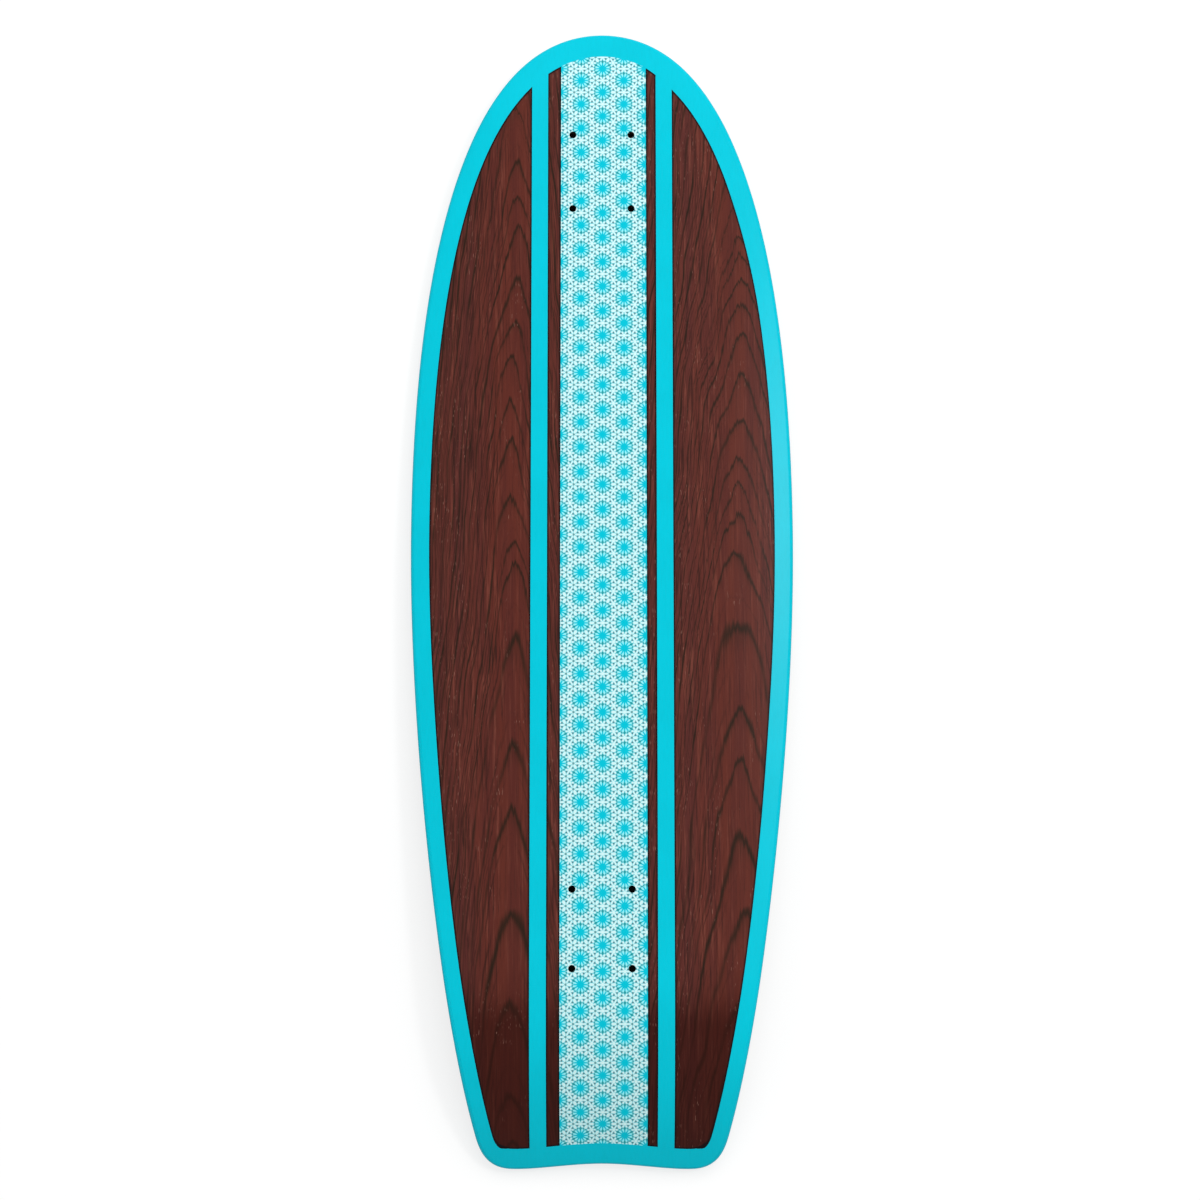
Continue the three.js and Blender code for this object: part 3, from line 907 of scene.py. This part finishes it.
for side, centre in (("left", -STRIPE_CENTRE), ("right", STRIPE_CENTRE)):
    edges = (centre - STRIPE_WIDTH / 2, centre + STRIPE_WIDTH / 2)
    stripe = printed_band(side + "_stripe_ink", *edges, STRIPE_COLUMNS, PRINT_THICKNESS)
    mark_places(stripe)
    stripe.data.materials.append(cyan_ink)
    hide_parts(side + "_stripe_print")

# Centre panel. A near-white print with a six-sided lattice of cyan rosettes: each has twelve pale drops in
# a cyan disc and six dark tips, with white petals, small stars and dark dots between them. Three inks are
# screened one over the other and lacquered, then the bolt holes are drilled through.

PANEL_COLUMNS = 17
PANEL_FILM = 0.12
LATTICE_PITCH = 17.766
LATTICE_COLUMN = 15.157
LATTICE_START = -296.07
LATTICE_SHIFT = 0.44
SOFT_EDGE = 0.12
SIXTH_TURN = math.radians(60)
TWELFTH_TURN = math.radians(30)
DISC_RADIUS = 4.6
STAR_PLACE = LATTICE_PITCH / 2
STAR_RADIUS = 1.2
TRIPLE_POINT = LATTICE_PITCH / math.sqrt(3)
TRIPLE_DOT_RADIUS = 0.88
DOT_RADIUS = 0.66
DOT_PLACE = (2.22, 1.35)
SCALLOP_RADIUS = 0.75
SCALLOP_PLACE = (5.3, 0.95)
TIP_PLACE = 5.35
TIP_SIZE = (1.5, 1.0)

# The drops and the arms of the stars: how far out the middle is, half the length, half the width, and how
# fast it widens outwards.

PETAL = (8.05, 2.0, 0.9, -0.21)
DISC_DROP = (3.9, 1.5, 0.57, 0.26)
LEVEL_ARM = (2.4, 1.8, 0.66, 0.0)
TURNED_ARM = (2.2, 0.86, 0.66, 0.0)

PANEL_CLOUD_PATCH = (16, 16, 3.0)
PANEL_WHITE = (paint(222, 255, 255), paint(210, 251, 253))
PANEL_GROUND = paint(124, 219, 229)
DISC_CYAN = paint(0, 202, 223)
SCALLOP_TEAL = paint(40, 160, 171)
TIP_TEAL = paint(36, 158, 166)
PALE_DROP = paint(154, 248, 255)
DOT_GREY = paint(90, 136, 146)
TRIPLE_DOT_GREY = paint(104, 160, 164)


def off_nearest(film, value, step, start):
    """How far a value is from the nearest of a row of places at even steps."""
    moved = value - start
    return moved - film.work("ROUND", moved / step) * step


def off_rosette(film, across, along):
    """How far a place is, across and along, from the middle of the nearest rosette."""
    near_x = off_nearest(film, across, 2 * LATTICE_COLUMN, LATTICE_SHIFT)
    near_y = off_nearest(film, along, LATTICE_PITCH, LATTICE_START)
    next_x = off_nearest(film, across, 2 * LATTICE_COLUMN, LATTICE_SHIFT + LATTICE_COLUMN)
    next_y = off_nearest(film, along, LATTICE_PITCH, LATTICE_START + LATTICE_PITCH / 2)
    near = film.length(near_x, near_y)
    closer = film.work("LESS_THAN", film.length(next_x, next_y), near)
    return near_x + (next_x - near_x) * closer, near_y + (next_y - near_y) * closer


def rosette_panel():
    film = Recipe("rosette_panel", INK_ROUGHNESS, INK_SPECULAR)
    across, along = film.places()[:2]
    x, y = off_rosette(film, across, along)
    radius = film.length(x, y)
    angle = film.work("ARCTAN2", y, x)

    def spoke(every, start):
        """How far out, and how far aside of, the nearest of a ring of spokes."""
        turn = off_nearest(film, angle, every, start)
        return radius * film.work("COSINE", turn), abs(radius * film.work("SINE", turn))

    def filled(outside):
        return film.ramp(outside, -SOFT_EDGE, SOFT_EDGE, 1.0, 0.0)

    def drop(out, aside, centre, half_length, half_width, widening):
        """A rounded drop that lies along a spoke and may widen along it."""
        half = film.most(half_width + (out - centre) * widening, SOFT_EDGE)
        return (film.length((out - centre) / half_length, aside / half) - 1.0) * half_width

    out, aside = spoke(SIXTH_TURN, 0)
    petals = filled(drop(out, aside, *PETAL))
    triple_dots = filled(film.length(out - TRIPLE_POINT, aside) - TRIPLE_DOT_RADIUS)
    scallops = filled(film.length(out - SCALLOP_PLACE[0], aside - SCALLOP_PLACE[1]) - SCALLOP_RADIUS)
    out, aside = spoke(SIXTH_TURN, SIXTH_TURN / 2)
    inward = STAR_PLACE - out
    level_arm = drop(aside, abs(inward), *LEVEL_ARM)
    turned_out = aside * math.cos(SIXTH_TURN) + inward * math.sin(SIXTH_TURN)
    turned_aside = inward * math.cos(SIXTH_TURN) - aside * math.sin(SIXTH_TURN)
    turned_arm = drop(turned_out, abs(turned_aside), *TURNED_ARM)
    star_middle = film.length(aside, inward) - STAR_RADIUS
    stars = filled(film.least(film.least(level_arm, turned_arm), star_middle))
    dots = filled(film.length(aside - DOT_PLACE[0], inward - DOT_PLACE[1]) - DOT_RADIUS)
    off_tip = abs(out - TIP_PLACE) / TIP_SIZE[0] + aside / TIP_SIZE[1] - 1.0
    tips = filled(off_tip * TIP_SIZE[1])
    out, aside = spoke(TWELFTH_TURN, TWELFTH_TURN / 2)
    drops = filled(drop(out, aside, *DISC_DROP))
    discs = filled(radius - DISC_RADIUS)

    white = film.blend(film.noise(across, along, *PANEL_CLOUD_PATCH), *PANEL_WHITE)
    tone = film.blend(film.most(petals, stars), PANEL_GROUND, white)
    tone = film.blend(discs, tone, DISC_CYAN)
    tone = film.blend(scallops, tone, SCALLOP_TEAL)
    tone = film.blend(tips, tone, TIP_TEAL)
    tone = film.blend(drops, tone, PALE_DROP)
    tone = film.blend(dots, tone, DOT_GREY)
    tone = film.blend(triple_dots, tone, TRIPLE_DOT_GREY)
    film.colour(tone)
    film.bump(film.noise(across, along, *INK_GRAIN_PATCH), INK_RELIEF)
    return film.material


panel_edges = (PANEL_SHIFT - PANEL_WIDTH / 2, PANEL_SHIFT + PANEL_WIDTH / 2)
panel = printed_band("rosette_panel", *panel_edges, PANEL_COLUMNS, PANEL_FILM)
bore(panel)
mark_places(panel)
panel.data.materials.append(rosette_panel())
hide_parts("centre_panel_print")
bpy.data.objects.remove(drill)

# Edge paint. The rounded edge of the stack is filled, sanded and painted the same cyan. The paint wraps
# from the border print over the rounding down to the grip sheet.

PAINT_THICKNESS = 0.15
ROUNDING_STEPS = 8
DARKER_PAINT = paint(0, 201, 221)


def edge_paint():
    turns = np.linspace(0, math.pi / 2, ROUNDING_STEPS)
    upper = [(EDGE_RADIUS * (1 - math.cos(turn)), EDGE_RADIUS * (1 - math.sin(turn))) for turn in turns]
    lower = [(STACK - depth, inset) for depth, inset in reversed(upper)]
    profile = upper + [(STACK / 2, 0)] + lower
    section = [(GLUE_LINE + PAINT_THICKNESS - inset, depth) for depth, inset in profile]
    section += [(GLUE_LINE - inset, depth) for depth, inset in reversed(profile)]
    rings = [press(rim_places + rim_outward * stand, depth) for stand, depth in section]
    loops = np.arange(len(rings) * len(rim)).reshape(len(rings), len(rim))
    faces = [wall_between(loops[k - 1], loops[k]) for k in range(len(loops))]
    return finished("edge_paint_band", np.concatenate(rings), np.concatenate(faces))


edge = edge_paint()
mark_places(edge)
edge.data.materials.append(ink("edge_paint", CYAN, DARKER_PAINT))
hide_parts("edge_paint")

# Floor. A plain white board that the deck lies on, riding side down. It slopes by about two degrees,
# because the deck rests on its tail and on its rails near the nose. It glows white for the camera, less
# near the deck, where the lights make up the rest, and it takes the deck's shadow.

FLOOR_SIZE = 24000
FLOOR_GAP = 0.2
NOSE_REST_START = 200
FLOOR_ROUGHNESS = 0.9
FLOOR_GREY = paint(150, 150, 150)
FLOOR_WHITE = paint(255, 255, 255)
FLOOR_GLOW = 0.74
EVEN_FLOOR = (1500, 6000)


def lay_floor():
    points = points_of(grip)
    lowest = points[points[:, 2].argmin()]
    ahead = points[points[:, 1] > NOSE_REST_START]
    slope = ((ahead[:, 2] - lowest[2]) / (ahead[:, 1] - lowest[1])).min()
    half = FLOOR_SIZE / 2
    corners = []
    for x, y in ((-half, -half), (half, -half), (half, half), (-half, half)):
        z = lowest[2] + slope * (y - lowest[1]) - FLOOR_GAP
        corners.append((x * MM, y * MM, z * MM))
    mesh = bpy.data.meshes.new("floor")
    mesh.from_pydata(corners, [], [(0, 1, 2, 3)])
    floor = bpy.data.objects.new("floor", mesh)
    bpy.context.scene.collection.objects.link(floor)
    return floor


def seen_rays(tree):
    """One for a ray from the camera, straight, by a reflection or through glass, and nought for the light
    that falls on the deck."""
    rays = tree.nodes.new("ShaderNodeLightPath")
    seen = rays.outputs["Is Camera Ray"]
    for name in ("Is Glossy Ray", "Is Transmission Ray"):
        either = tree.nodes.new("ShaderNodeMath")
        either.operation = "MAXIMUM"
        tree.links.new(seen, either.inputs[0])
        tree.links.new(rays.outputs[name], either.inputs[1])
        seen = either.outputs[0]
    return seen


def white_board():
    board = Recipe("white_board", FLOOR_ROUGHNESS, 0.0)
    board.colour(FLOOR_GREY)
    board.surface.inputs["Emission Color"].default_value = FLOOR_WHITE
    spot = board.nodes.new("ShaderNodeNewGeometry")
    x, y = board.parts(spot.outputs["Position"])[:2]
    near, far = EVEN_FLOOR
    glow = board.ramp(board.length(x, y), near * MM, far * MM, FLOOR_GLOW, 1.0)
    seen = Value(board, seen_rays(board.material.node_tree))
    board.put(board.surface.inputs["Emission Strength"], seen * glow)
    return board.material


lay_floor().data.materials.append(white_board())

# Light. An even pale room, a broad panel overhead towards the nose, and a small one on the right, whose
# sheen shows on the right border. The broad panel is left out of reflections, so the nose has no sheen.

ROOM_LIGHT = 0.5
OVERHEAD_PLACE = Vector((500, 2400, 3200))
OVERHEAD_SIZE = 3000
OVERHEAD_POWER = 76
RIGHT_PLACE = Vector((1620, 620, 3000))
RIGHT_SIZE = 500
RIGHT_POWER = 20.5


def light_room():
    world = bpy.data.worlds.new("room")
    bpy.context.scene.world = world
    world.use_nodes = True
    tree = world.node_tree
    level = tree.nodes.new("ShaderNodeMapRange")
    level.inputs["To Min"].default_value = ROOM_LIGHT
    level.inputs["To Max"].default_value = 1.0
    tree.links.new(seen_rays(tree), level.inputs["Value"])
    background = tree.nodes["Background"]
    background.inputs["Color"].default_value = (1, 1, 1, 1)
    tree.links.new(level.outputs["Result"], background.inputs["Strength"])


def hang_light(name, place, size, power):
    """A round panel of light that faces the deck."""
    light = bpy.data.objects.new(name, bpy.data.lights.new(name, "AREA"))
    light.data.shape = "DISK"
    light.data.size = size * MM
    light.data.energy = power
    light.location = place * MM
    light.rotation_euler = (-place).to_track_quat("-Z", "Y").to_euler()
    bpy.context.scene.collection.objects.link(light)
    return light


light_room()
overhead = hang_light("overhead_panel", OVERHEAD_PLACE, OVERHEAD_SIZE, OVERHEAD_POWER)
overhead.visible_glossy = False
hang_light("right_panel", RIGHT_PLACE, RIGHT_SIZE, RIGHT_POWER)
